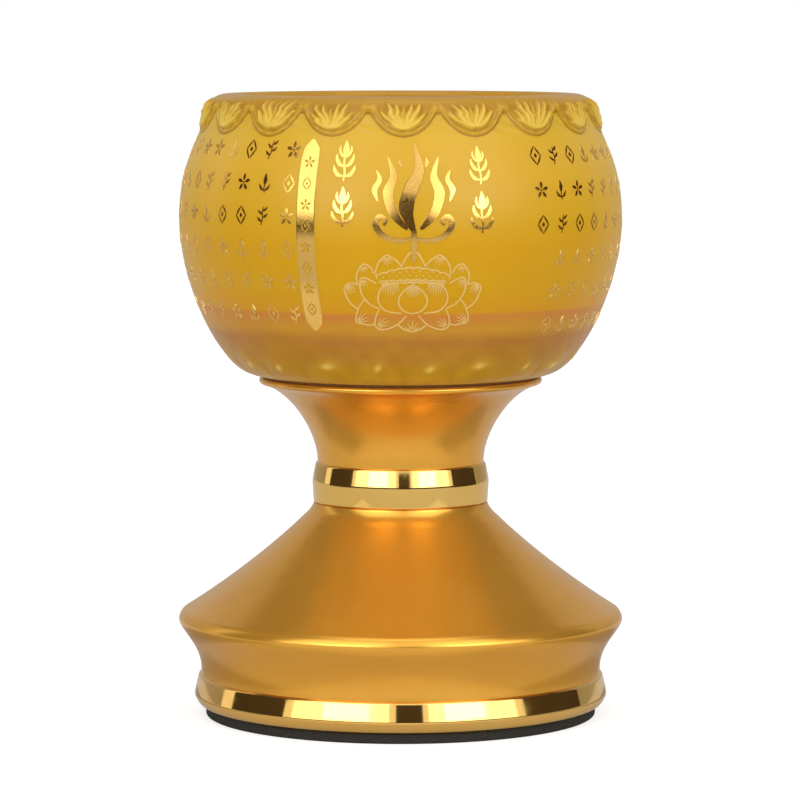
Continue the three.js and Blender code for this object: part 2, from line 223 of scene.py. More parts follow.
class Finish:
    """A procedural material under construction, on one Principled shader."""

    def __init__(self, name, colour, roughness, metallic=0.0, **sockets):
        self.material = bpy.data.materials.new(name)
        self.material.use_nodes = True
        self.tree = self.material.node_tree
        self.shader = self.tree.nodes["Principled BSDF"]
        self.set("Base Color", colour)
        self.set("Roughness", roughness)
        self.set("Metallic", metallic)
        for socket, value in sockets.items():
            self.set(socket.replace("_", " "), value)
        self.place = self.node("ShaderNodeTexCoord").outputs["Object"]
        self.normal = None

    def set(self, socket, value):
        self.shader.inputs[socket].default_value = value

    def node(self, kind, **settings):
        made = self.tree.nodes.new(kind)
        for key, value in settings.items():
            setattr(made, key, value)
        return made

    def link(self, output, socket):
        self.tree.links.new(output, self.shader.inputs[socket] if isinstance(socket, str) else socket)

    def noise(self, size, detail=3.0, stretch=(1, 1, 1), roughness=0.55):
        """Noise whose features are about size millimetres across."""
        mapping = self.node("ShaderNodeMapping")
        mapping.inputs["Scale"].default_value = stretch
        self.link(self.place, mapping.inputs["Vector"])
        made = self.node("ShaderNodeTexNoise")
        made.inputs["Scale"].default_value = 1 / (size * MM)
        made.inputs["Detail"].default_value = detail
        made.inputs["Roughness"].default_value = roughness
        self.link(mapping.outputs["Vector"], made.inputs["Vector"])
        return made.outputs["Fac"]

    def cells(self, size):
        made = self.node("ShaderNodeTexVoronoi")
        made.inputs["Scale"].default_value = 1 / (size * MM)
        self.link(self.place, made.inputs["Vector"])
        return made.outputs["Distance"]

    def height(self):
        """Height above the ground, in metres."""
        split = self.node("ShaderNodeSeparateXYZ")
        self.link(self.place, split.inputs[0])
        return split.outputs["Z"]

    def turn_place(self):
        """Radius, and height, so that noise on them runs round a turned piece in rings."""
        flat = self.node("ShaderNodeVectorMath", operation="MULTIPLY")
        flat.inputs[1].default_value = (1, 1, 0)
        self.link(self.place, flat.inputs[0])
        length = self.node("ShaderNodeVectorMath", operation="LENGTH")
        self.link(flat.outputs[0], length.inputs[0])
        joined = self.node("ShaderNodeCombineXYZ")
        self.link(length.outputs["Value"], joined.inputs["X"])
        self.link(self.height(), joined.inputs["Z"])
        return joined.outputs[0]

    def attribute(self, name):
        made = self.node("ShaderNodeAttribute", attribute_name=name)
        return made.outputs["Fac"]

    def fit(self, value, low, high, to_low=0.0, to_high=1.0):
        made = self.node("ShaderNodeMapRange")
        limits = {"From Min": low, "From Max": high, "To Min": to_low, "To Max": to_high}
        for socket, limit in limits.items():
            made.inputs[socket].default_value = limit
        self.link(value, made.inputs["Value"])
        return made.outputs["Result"]

    def product(self, first, second):
        made = self.node("ShaderNodeMath", operation="MULTIPLY")
        self.link(first, made.inputs[0])
        self.link(second, made.inputs[1])
        return made.outputs[0]

    def ramp(self, value, stops):
        """Colour by a value from 0 to 1; stops are (share, colour)."""
        made = self.node("ShaderNodeValToRGB")
        ramp = made.color_ramp
        ramp.elements[0].position, ramp.elements[0].color = stops[0]
        ramp.elements[1].position, ramp.elements[1].color = stops[-1]
        for share, colour in stops[1:-1]:
            ramp.elements.new(share).color = colour
        self.link(value, made.inputs["Fac"])
        return made.outputs["Color"]

    def mix(self, share, first, second, blend="MIX"):
        """Mix two colours; inputs 6 and 7 and output 2 are the node's colours."""
        made = self.node("ShaderNodeMix", data_type="RGBA", blend_type=blend)
        for socket, value in (("Factor", share), (6, first), (7, second)):
            if isinstance(value, bpy.types.NodeSocket):
                self.link(value, made.inputs[socket])
            else:
                made.inputs[socket].default_value = value
        return made.outputs[2]

    def bump(self, height, depth, strength=1.0):
        """Bump of a depth in millimetres, on top of any bump already there."""
        made = self.node("ShaderNodeBump")
        made.inputs["Strength"].default_value = strength
        made.inputs["Distance"].default_value = depth * MM
        self.link(height, made.inputs["Height"])
        if self.normal:
            self.link(self.normal, made.inputs["Normal"])
        self.normal = made.outputs["Normal"]
        self.link(self.normal, "Normal")


def lacquer_finish():
    """Satin gold lacquer: a fine metallic grain, faint turning marks and a little mottling."""
    f = Finish("lacquer_gold", srgb(230, 166, 56), 0.25, 0.7, Coat_Weight=0.15, Coat_Roughness=0.12)
    mottle = f.noise(14, 2)
    grain = f.noise(0.22, 2)
    colour = f.mix(f.fit(mottle, 0.35, 0.65), srgb(228, 163, 53), srgb(232, 169, 59))
    f.link(f.mix(f.fit(grain, 0.35, 0.75, 0.0, 0.3), colour, srgb(244, 192, 84)), "Base Color")
    f.link(f.fit(f.noise(2.5, 2), 0.3, 0.7, 0.23, 0.27), "Roughness")
    f.bump(grain, 0.004)
    f.place = f.turn_place()
    f.bump(f.noise(0.35, 2), 0.003)
    return f.material


def polish_finish():
    """Mirror gold plating, with hairlines from the buffing wheel and a few smudges."""
    f = Finish("polish_gold", srgb(247, 200, 110), 0.06, 1.0)
    f.link(f.mix(f.fit(f.noise(14, 3), 0.3, 0.7), srgb(246, 196, 104), srgb(249, 204, 116)), "Base Color")
    smudges = f.noise(5, 5)
    f.link(f.fit(smudges, 0.45, 0.75, 0.05, 0.15), "Roughness")
    f.place = f.turn_place()
    f.bump(f.noise(0.12, 2), 0.0012)
    return f.material


def gilt_finish(name, colour, dull, roughness, metallic=1.0):
    """Gilding on frosted glass: a fine pebbled grain that glitters."""
    f = Finish(name, colour, roughness, metallic)
    grain = f.noise(0.16, 2)
    f.link(f.mix(f.fit(grain, 0.35, 0.7), dull, colour), "Base Color")
    f.link(f.fit(f.noise(0.6, 3), 0.3, 0.7, roughness * 0.8, roughness * 1.4), "Roughness")
    f.bump(grain, 0.006)
    return f.material


def glass_finish(foot, crest):
    """Frosted amber glass: tinted by its thickness, cloudy inside, with painted see-through bands low down,
    painted shade in the creases of the petals, a painted highlight on their ridges and a painted glow on the
    inner side.
    """
    f = Finish("frosted_amber", srgb(212, 158, 12), 0.3, Specular_IOR_Level=0.2, Transmission_Weight=0.12,
               Subsurface_Weight=0.22, Subsurface_Scale=5 * MM)
    f.set("Subsurface Radius", (1.0, 0.55, 0.12))
    # Colour by height above the foot; the brown band near 6 to 10 mm is painted darker where the glass is
    # thick, and the pinkish band near 13 to 15 mm is the cavity floor painted as seen through the wall.
    tints_and_painted_see_through = [
        (0.0, (222, 174, 60)), (2.4, (206, 158, 38)), (6.4, (196, 138, 40)), (9.4, (192, 129, 46)),
        (11.6, (210, 151, 42)), (13.2, (206, 137, 48)), (14.6, (208, 127, 52)), (15.2, (214, 152, 12)),
        (20.0, (212, 159, 2)), (28.0, (212, 158, 0)), (34.0, (213, 165, 28)), (46.0, (214, 169, 48)),
        (50.0, (212, 171, 46)), (53.9, (208, 168, 46)), (55.6, (188, 144, 40)), (57.2, (174, 130, 48)),
    ]
    tall = crest - foot
    height = f.fit(f.height(), foot * MM, crest * MM)
    body = f.ramp(height, [(level / tall, srgb(*tint)) for level, tint in tints_and_painted_see_through])
    cloud = f.noise(11, 5, (1, 1, 1.6))
    body = f.mix(f.fit(cloud, 0.35, 0.68, 0.0, 0.12), body, srgb(226, 178, 50))
    streaks = f.fit(f.noise(18, 3, (1, 1, 6)), 0.42, 0.62)
    low = f.fit(f.height(), (foot + 16) * MM, (foot + 13) * MM, 0.0, 0.35)
    body = f.mix(f.product(streaks, low), body, srgb(212, 158, 30))
    # Painted shade in the petals' creases and between the foot petals, with brown blotches low down.
    body = f.mix(f.attribute("painted_shade_and_blotches"), body, srgb(150, 88, 8))
    # Painted highlight on the raised ridges of the petals and on the foot petals' dimples.
    body = f.mix(f.attribute("ridge"), body, srgb(240, 206, 92))
    # Painted glow on the bowl's inner side.
    body = f.mix(f.attribute("inside"), body, srgb(255, 208, 84))
    f.link(body, "Base Color")
    frost = f.noise(0.09, 2)
    f.link(f.fit(f.noise(6, 2), 0.3, 0.7, 0.28, 0.32), "Roughness")
    f.bump(frost, 0.003)
    f.bump(f.noise(5, 2), 0.006)
    return f.material


def zinc_finish():
    """Zinc-plated steel, slightly blotched."""
    f = Finish("zinc_plated_steel", srgb(176, 178, 182), 0.32, 1.0)
    blotch = f.noise(2.2, 5)
    f.link(f.mix(f.fit(blotch, 0.35, 0.65), srgb(164, 167, 172), srgb(190, 190, 186)), "Base Color")
    f.link(f.fit(blotch, 0.3, 0.7, 0.26, 0.42), "Roughness")
    f.bump(f.noise(0.3, 3), 0.008)
    return f.material


def iron_finish():
    """Raw grey casting: sandy skin, with rust in its pores."""
    f = Finish("cast_iron", srgb(74, 74, 76), 0.75, 0.7)
    sand = f.noise(0.7, 5)
    rust = f.noise(6, 6)
    f.link(f.mix(f.fit(rust, 0.56, 0.72, 0.0, 0.7), srgb(72, 72, 74), srgb(104, 66, 42)), "Base Color")
    f.link(f.fit(sand, 0.3, 0.7, 0.65, 0.9), "Roughness")
    f.bump(sand, 0.12)
    return f.material


def rubber_finish():
    f = Finish("gasket_rubber", srgb(124, 82, 42), 0.62)
    f.link(f.mix(f.fit(f.noise(1.2, 4), 0.35, 0.65), srgb(116, 76, 38), srgb(134, 90, 46)), "Base Color")
    f.bump(f.noise(0.2, 3), 0.02)
    return f.material


def foam_finish():
    """Closed-cell foam, with small open pores on its skin and cut edge."""
    f = Finish("foam_black", srgb(62, 60, 54), 0.92, Specular_IOR_Level=0.2)
    pores = f.cells(0.55)
    f.link(f.mix(f.fit(pores, 0.0, 0.35), srgb(74, 71, 64), srgb(52, 50, 46)), "Base Color")
    f.bump(f.fit(pores, 0.0, 0.5, 1.0, 0.0), 0.1)
    f.bump(f.noise(1.6, 4), 0.12)
    return f.material


LACQUER = lacquer_finish()
POLISH = polish_finish()
ZINC = zinc_finish()
IRON = iron_finish()
RUBBER = rubber_finish()
FOAM = foam_finish()

# Levels, from the CAD nodes, and radii that the stand's pieces share, in millimetres
RING_FOOT, RING_TOP = levels("base_ring")
LIP = levels("base_skirt")[1]
LIP_RADIUS = 45.42
COLLAR_FOOT, COLLAR_TOP = levels("collar_ring")
RIM = levels("neck_trumpet")[1]
SOCKET_RADIUS = 24.1
ROD_HOLE = 3.3
BOWL_FOOT = levels("bowl_gasket")[1]
BOWL_BOTTOM, CREST = levels("glass_bowl")
SEAT_BOTTOM, SEAT_TOP = levels("seat_plate")


# The stand

def foam_pad():
    """Flat pad with softly cut edges."""
    radius = reach("foam_pad")
    bottom, top = levels("foam_pad")
    outline = [
        (0, bottom),
        (radius - 4, bottom),
        (radius, bottom, 0.45),
        (radius, top, 0.3),
        (radius - 4, top),
        (0, top),
    ]
    return turned("foam_pad_cut", rounded(outline), "stand", FOAM, "foam_pad")


def foot_ring():
    """Polished ring: a broad face, with a narrow facet above it and one that draws in below."""
    ring_bore = 38.3
    outline = [
        (40.4, RING_FOOT, 0.3),
        (41.5, RING_FOOT + 0.7, 0.6),
        (42.4, RING_FOOT + 2.3, 0.5),
        (41.5, RING_TOP - 0.35, 0.2),
        (41.05, RING_TOP, 0.1),
        (ring_bore, RING_TOP),
        (ring_bore, RING_FOOT),
    ]
    return turned("foot_ring_polished", rounded(outline), "stand", POLISH, "base_ring")


def skirt():
    """Skirt drawn in to a waist, with a flange inside that the cone stands on."""
    waist_radius = 41.0
    wall = 2.3
    flange_bore = 35.7
    under_lip = (44.72, LIP - 2.16)
    cove = bezier([(waist_radius, RING_TOP), (40.5, RING_TOP + 5.4), under_lip, (LIP_RADIUS, LIP)], 28)
    flange_bottom = levels("ballast_disc")[1]
    inside = [(radius - wall, height) for radius, height in cove if height < flange_bottom]
    outline = [
        *cove,
        (flange_bore, LIP),
        (flange_bore, flange_bottom),
        (inside[-1][0], flange_bottom),
        *reversed(inside),
    ]
    return turned("skirt_shell", outline, "stand", LACQUER, "base_skirt")


def cone():
    """Cone with a rounded lip at its foot and a spigot that centres the collar."""
    wall = 2.4
    nose_end = (44.75, LIP + 2.05)
    slope_end = (20.0, COLLAR_FOOT - 3.0)
    nose = bezier([(LIP_RADIUS, LIP), (45.76, LIP + 0.85), nose_end], 10)
    slope = bezier([nose_end, (34, LIP + 8.8), (24.2, COLLAR_FOOT - 7.2), slope_end], 40)
    fillet = bezier([slope_end, (18.1, COLLAR_FOOT - 1.4), (17.8, COLLAR_FOOT)], 14)
    inner_foot = (LIP_RADIUS - wall, LIP)
    underside = bezier([(15.8, COLLAR_FOOT - 2), (21.1, COLLAR_FOOT - 8.4), (32, LIP + 6.8), inner_foot], 24)
    spigot_radius = 14.05
    spigot_top = COLLAR_FOOT + 1.5
    outline = rounded([
        *nose,
        *slope[1:],
        *fillet[1:],
        (spigot_radius, COLLAR_FOOT),
        (spigot_radius, spigot_top, 0.2),
        (ROD_HOLE, spigot_top),
        (ROD_HOLE, COLLAR_FOOT - 2),
        *underside,
    ])
    return turned("cone_shell", outline, "stand", LACQUER, "base_cone")


def collar():
    """Polished collar: two broad facets that meet in a soft ridge."""
    bore = 14.35
    ridge = COLLAR_FOOT + 4.5
    outline = rounded([
        (bore, COLLAR_FOOT),
        (17.55, COLLAR_FOOT, 0.12),
        (17.85, COLLAR_FOOT + 0.35, 0.2),
        (18.1, ridge, 0.5),
        (17.45, COLLAR_TOP - 0.3, 0.15),
        (17.2, COLLAR_TOP, 0.1),
        (bore, COLLAR_TOP),
    ])
    return turned("collar_polished", outline, "stand", POLISH, "collar_ring")


def neck():
    """Trumpet neck: a bead round its rim, a socket for the bowl and a counterbore for the seat plate."""
    bead_radius = 0.7
    bead_middle = (28.2, RIM - bead_radius)
    flare_end = (bead_middle[0], RIM - 2 * bead_radius)
    flare = bezier([(17, COLLAR_TOP), (17, COLLAR_TOP + 6.3), (22.6, RIM - 2.9), flare_end], 40)
    bead = []
    for i in range(1, 15):
        angle = -math.pi / 2 + math.pi * i / 14
        across, up = bead_radius * math.cos(angle), bead_radius * math.sin(angle)
        bead.append((bead_middle[0] + across, bead_middle[1] + up))
    counterbore = 20.35
    spigot_radius = 14.05
    spigot_bore = 12.25
    spigot_bottom = COLLAR_TOP - 1.5
    outline = rounded([
        (spigot_bore, spigot_bottom),
        (spigot_radius, spigot_bottom, 0.2),
        (spigot_radius, COLLAR_TOP),
        *flare,
        *bead,
        (SOCKET_RADIUS, RIM, 0.25),
        (SOCKET_RADIUS, BOWL_BOTTOM - 0.3),
        (counterbore, SEAT_TOP),
        (counterbore, SEAT_BOTTOM),
        (spigot_bore, SEAT_BOTTOM),
    ])
    return turned("neck_shell", outline, "stand", LACQUER, "neck_trumpet")


def flat_disc(name, node, bore, edge, material, facets=TURNED_FACETS, pressed_out=0.0):
    """A washer, plate or ring with rounded outer edges, as large as its CAD node or pressed out past it."""
    bottom, top = levels(node)
    radius = reach(node) + pressed_out
    outline = [(bore, bottom), (radius, bottom, edge), (radius, top, edge), (bore, top)]
    return turned(name, rounded(outline), "stand", material, node, facets)


def screw_thread(name, node):
    """Tie rod, threaded at both ends, with chamfered tips."""
    bottom, top = levels(node)
    radius = reach(node)
    pitch = 1.0
    depth = 0.55
    threaded = 14
    chamfer = 0.6
    rows_per_pitch = 8
    turn = azimuths(SMALL_FACETS)
    heights = [bottom]
    while heights[-1] < top:
        in_thread = heights[-1] < bottom + threaded or heights[-1] > top - threaded - pitch
        heights.append(min(top, heights[-1] + (pitch / rows_per_pitch if in_thread else pitch)))
    rings = [[(0, 0, bottom * MM)]]
    for height in heights:
        wave = np.abs(((height / pitch - turn / (2 * math.pi)) % 1) - 0.5) * 2
        from_end = min(height - bottom, top - height)
        cut = depth * np.clip(wave * 1.25, 0, 1) * smoothstep(threaded, threaded - pitch, from_end)
        rings.append(ring_of(np.minimum(radius - cut, radius - chamfer + from_end), height, SMALL_FACETS))
    rings.append([(0, 0, top * MM)])
    points, faces = revolve(rings, SMALL_FACETS)
    return mesh_piece(name, points, faces, "stand", ZINC, node)


def hex_nut(name, node, flats=10.0):
    """Hexagon nut with its corners chamfered at both ends and a countersunk bore."""
    bottom, top = levels(node)
    bore = 3.15
    countersink = 0.35
    turn = azimuths(SMALL_FACETS) + math.pi / 2
    across = (turn + math.pi / 6) % (math.pi / 3) - math.pi / 6
    hexagon = flats / 2 / np.cos(math.pi / 6 - np.abs(across))
    circle = flats / 2 * 0.96
    chamfer = (hexagon - circle) * math.tan(math.radians(30))
    half = [(bore, countersink), (bore + countersink, 0), (circle, 0), (hexagon, chamfer)]
    sections = [(radius, bottom + inset) for radius, inset in half]
    sections += [(radius, top - inset) for radius, inset in reversed(half)]
    rings = [ring_of(radius, height, SMALL_FACETS) for radius, height in sections]
    points, faces = revolve(rings, SMALL_FACETS)
    made = mesh_piece(name, points, faces, "stand", ZINC, node)
    mark_sharp_edges(made)
    return made


def spring_washer(name, node):
    """Split ring with a slanted cut, pressed flat by its nut."""
    bottom, top = levels(node)
    inner = ROD_HOLE
    outer = 5.0
    half_slit = math.radians(4)
    slant = math.radians(9)
    section = [(inner, bottom), (outer, bottom), (outer, top), (inner, top)]
    steps = SMALL_FACETS
    points = []
    for i in range(steps + 1):
        for radius, height in section:
            lean = slant * ((height - bottom) / (top - bottom) - 0.5)
            angle = half_slit + (2 * math.pi - 2 * half_slit) * i / steps + lean
            points.append((radius * math.cos(angle) * MM, radius * math.sin(angle) * MM, height * MM))
    faces = [(0, 1, 2, 3), tuple(steps * 4 + k for k in reversed(range(4)))]
    for i in range(steps):
        for k in range(4):
            a, b = i * 4 + k, i * 4 + (k + 1) % 4
            faces.append((a, a + 4, b + 4, b))
    made = mesh_piece(name, points, faces, "stand", ZINC, node)
    mark_sharp_edges(made)
    return made


# The glass bowl; heights here are above the level that it stands on, and BELLY is a radius and a height

BELLY = (45.1, 31.5)
SHOULDER = 54.0
SHOULDER_RADIUS = 39.4
TALL = CREST - BOWL_FOOT
CREST_RADIUS = 35.0
BOWL_FLOOR = 8.8
BOWL_RECESS = 0.6
RIM_TIP = 49.6
RIM_PETALS = 18
RIM_TURN = math.radians(0.8)
FOOT_PETALS = 21
FOOT_PETAL_HEIGHT = 6.4
OUTER_CURVE = [
    *bezier([(28.6, 0), (37.2, 0), (45.1, 19.5), BELLY], 160),
    *bezier([BELLY, (45.1, 43.5), (41.5, 46.2), (SHOULDER_RADIUS, SHOULDER)], 160)[1:],
    *bezier([(SHOULDER_RADIUS, SHOULDER), (38.6, TALL), (CREST_RADIUS, TALL)], 40)[1:],
]
OUTER_RADII = np.array([radius for radius, _ in OUTER_CURVE])
OUTER_HEIGHTS = np.array([height for _, height in OUTER_CURVE])
OUTER_TILTS = np.arctan2(-np.gradient(OUTER_RADII), np.gradient(OUTER_HEIGHTS))


def outer_radius(height):
    return np.interp(height, OUTER_HEIGHTS, OUTER_RADII)


def across_petal(turn, count, middle):
    """Where each azimuth lies across its petal, -1 to 1 with 0 in the middle, and the petal's number."""
    pitches = (turn - middle) * count / (2 * math.pi)
    return (pitches - np.round(pitches)) * 2, np.round(pitches) % count


def leaf(side, rise, lean, length, width, bow):
    """One leaf of a palmette: 1 along its keel and 0 at its edge; bow bends it up towards its tip."""
    lean = math.radians(lean)
    along = side * math.sin(lean) + rise * math.cos(lean)
    across = side * math.cos(lean) - rise * math.sin(lean) + bow * along ** 2
    share = np.clip(along / length, 0, 1)
    half = width * np.sqrt(np.sin(math.pi * share ** 0.75)) + 1e-6
    return np.clip(1 - np.abs(across / half) ** 1.4, 0, 1) ** 0.7


def palmette(side, rise):
    """Seven leaves that fan out from a foot."""
    side = np.abs(side)
    fan = 0.8 * leaf(side, rise, 0, 4.6, 0.6, 0)
    for lean, length, width, bow in ((24, 5.4, 0.85, 0.01), (50, 6.3, 1.05, 0.04), (76, 5.6, 0.95, 0.07)):
        fan = np.maximum(fan, leaf(side, rise, lean, length, width, bow))
    return fan


def rim_relief(turn, height):
    """Pressed petals under the rim: how far they stand out, painted shade in their creases, and a painted
    highlight where they stand out most.
    """
    across, petal = across_petal(turn, RIM_PETALS, RIM_TURN)
    half_pitch = 7.4
    half_width = 6.9
    sweep, power, slant = 4.0, 2.6, 0.7  # of the edge, as it climbs from the petal's tip
    side = across * half_pitch
    rise = height - RIM_TIP - 0.15 * np.sin(petal * 3.1) * (1 - across ** 2)
    share = np.minimum(np.abs(side) / half_width, 1)
    edge = sweep * share ** power + slant * share
    steep = (sweep * power * share ** (power - 1) + slant) / half_width
    inside = (rise - edge) / np.sqrt(1 + steep ** 2)
    wobble = 0.16 * np.sin(rise * 2.1 + 5 * turn) + 0.18 * np.sin(11 * turn)
    wobble += 0.05 * np.sin(rise * 5.3 + 41 * turn)
    size = 1 + 0.09 * np.sin(petal * 2.7)
    leaning = side + 0.14 * rise * np.sin(petal * 1.9) + wobble
    fan = palmette(leaning * size, (rise - 1.2 + wobble) * size) * smoothstep(0.6, 1.0, inside)
    knot = hump(np.hypot(np.abs(side) - 6.7, 0.75 * (rise - 5.4)) + wobble, 0, 1.1)
    border = hump(inside, 0.36, 0.36) * (0.75 + 0.25 * np.sin(7 * turn + 2.3 * side))
    vein = hump(inside + 0.5 * wobble, 1.05, 0.24) * smoothstep(0.2, 0.6, share)
    top = smoothstep(7.2, 5.2, rise)
    body = smoothstep(-0.1, 0.3, inside)
    stands = np.maximum(np.maximum(0.8 * border, fan), np.maximum(0.7 * knot, 0.8 * vein))
    raised = 0.1 * body + 0.4 * border + 0.8 * fan + 0.35 * knot + 0.2 * vein
    # Painted shade along each petal's edge and on the low ground between its leaves.
    painted_crease_shade = np.maximum(1.3 * hump(inside, -0.14, 0.26), 0.6 * (1 - stands) * body) * (1 - knot)
    uneven = np.sin(37 * turn + 1.3 * rise) * np.sin(1.9 * rise + 6 * turn)
    uneven = 0.13 * uneven * smoothstep(-0.3, 1.5, rise) * smoothstep(7.1, 5.6, rise)
    # The relief, its painted crease shade, and a painted highlight on the parts that stand out most.
    return raised * top + uneven, 0.75 * painted_crease_shade * top, 0.6 * stands ** 5 * top


def foot_relief(turn, height):
    """Small soft petals that stand up from the foot, each with a raised dimple in its middle that carries a
    painted highlight.
    """
    across, petal = across_petal(turn, FOOT_PETALS, math.pi / FOOT_PETALS + RIM_TURN)
    half_pitch = 5.4
    lancet = FOOT_PETAL_HEIGHT * np.sqrt(np.maximum(1 - np.abs(across) ** 1.6, 0))
    inside = (lancet - height) / (1 + 1.4 * np.abs(across))
    body = smoothstep(-0.7, 1.2, inside)
    above = height - 3.7
    width = 0.95 + 0.4 * np.sin(petal * 2.4)
    shift = across * half_pitch - 0.8 * np.sin(petal * 4.1) - 0.35 * above
    dimple = np.exp(-(shift / width) ** 2 - ((above - 0.5 * np.sin(petal * 1.7)) / 0.62) ** 2)
    blotch = 0.5 + 0.5 * np.sin(31 * turn + 3 * np.sin(5 * turn)) * np.sin(height * 0.9 + 7 * turn)
    fade = smoothstep(-0.2, 1.6, height)
    raised = (0.14 * body + 0.22 * dimple) * fade
    # Painted shade between the petals, with brown blotches low down; the dimple comes back as a painted
    # highlight.
    shade = (0.12 * (1 - body) + 0.16 * blotch) * smoothstep(14, 8, height) * (1 - dimple)
    return raised, shade, dimple * fade


def outer_heights():
    """Heights of the rows of the bowl's outer side, close together where the petals are."""
    run = np.concatenate([[0], np.cumsum(np.hypot(np.diff(OUTER_RADII), np.diff(OUTER_HEIGHTS)))])
    stops = [0.0, FOOT_PETAL_HEIGHT + 1.2, RIM_TIP - 0.6, SHOULDER + 2.6, OUTER_HEIGHTS[-1]]
    spacings = [0.4, 1.5, 0.2, 0.4]
    rows = [0.0]
    for low, high, spacing in zip(stops, stops[1:], spacings):
        start, end = np.interp([low, high], OUTER_HEIGHTS, run)
        count = math.ceil((end - start) / spacing)
        rows += list(np.interp(np.linspace(start, end, count + 1)[1:], run, OUTER_HEIGHTS))
    return rows


def bowl_rows():
    """Rows of the bowl's section from its underside over the crest to its floor: radius, height and side."""
    wall = 4.0
    recess_radius = 20.0
    spigot_radius = 23.8
    spigot = BOWL_BOTTOM - BOWL_FOOT
    mouth = (33.4, TALL - 1.2)
    throat_foot = TALL - 12.7
    throat_radius = outer_radius(throat_foot) - wall
    wall_foot = BOWL_FLOOR + 6
    foot_corner = outer_radius(wall_foot) - wall
    under = rounded([
        (recess_radius, BOWL_RECESS),
        (recess_radius, spigot, 0.3),
        (spigot_radius, spigot, 0.4),
        (spigot_radius, 0),
    ])
    outer = [(outer_radius(height), height) for height in outer_heights()]
    lip = bezier([(CREST_RADIUS, TALL), (33.6, TALL), mouth], 8)[1:]
    inside = bezier([mouth, (throat_radius - 1, TALL - 3.2), (throat_radius, throat_foot)], 16)[1:]
    for height in np.linspace(throat_foot, wall_foot, 14)[1:]:
        inside.append((outer_radius(height) - wall, height))
    corner = [(foot_corner, wall_foot), (foot_corner - 1, BOWL_FLOOR), (foot_corner - 6, BOWL_FLOOR)]
    inside += bezier(corner, 14)[1:]
    inside += [(radius, BOWL_FLOOR) for radius in (26, 16, 6)]
    rows = []
    for side, stretch in (("under", under), ("petals", outer), ("lip", lip), ("inside", inside)):
        rows += [(radius, height, side) for radius, height in stretch]
    return rows


def glass_bowl():
    """Hollow bowl with its relief, and marks on its points for painted shade in the creases, a painted
    highlight on the ridges and a painted glow on the inner side.
    """
    # Strength of the painted glow on the bowl's inner side.
    painted_inner_glow = 0.8
    turn = azimuths(BOWL_FACETS)
    rings = [[(0, 0, (BOWL_FOOT + BOWL_RECESS) * MM)]]
    marks = [np.zeros((3, 1))]
    for radius, height, side in bowl_rows():
        raised, painted_shade_and_blotches, ridge = np.zeros((3, BOWL_FACETS))
        if side == "petals":
            raised, painted_shade_and_blotches, ridge = np.add(rim_relief(turn, height), foot_relief(turn, height))
        tilt = np.interp(height, OUTER_HEIGHTS, OUTER_TILTS)
        out, up = raised * np.cos(tilt), raised * np.sin(tilt)
        rings.append(ring_of(radius + out, BOWL_FOOT + height + up, BOWL_FACETS))
        inner = np.full(BOWL_FACETS, painted_inner_glow if side == "inside" else 0.0)
        marks.append(np.stack([painted_shade_and_blotches, ridge, inner]))
    rings.append([(0, 0, (BOWL_FOOT + BOWL_FLOOR) * MM)])
    marks.append(np.array([[0.0], [0.0], [painted_inner_glow]]))
    points, faces = revolve(rings, BOWL_FACETS)
    frosted = glass_finish(BOWL_FOOT, CREST)
    made = mesh_piece("bowl_glass", points, faces, "bowl", frosted, "glass_bowl")
    # Marks that the glass reads: painted shade with blotches, painted highlight, painted inner glow.
    for name, values in zip(("painted_shade_and_blotches", "ridge", "inside"), np.concatenate(marks, axis=1)):
        attribute = made.data.attributes.new(name, "FLOAT", "POINT")
        attribute.data.foreach_set("value", values.astype(np.float32))
    return made


# Gilding on the bowl

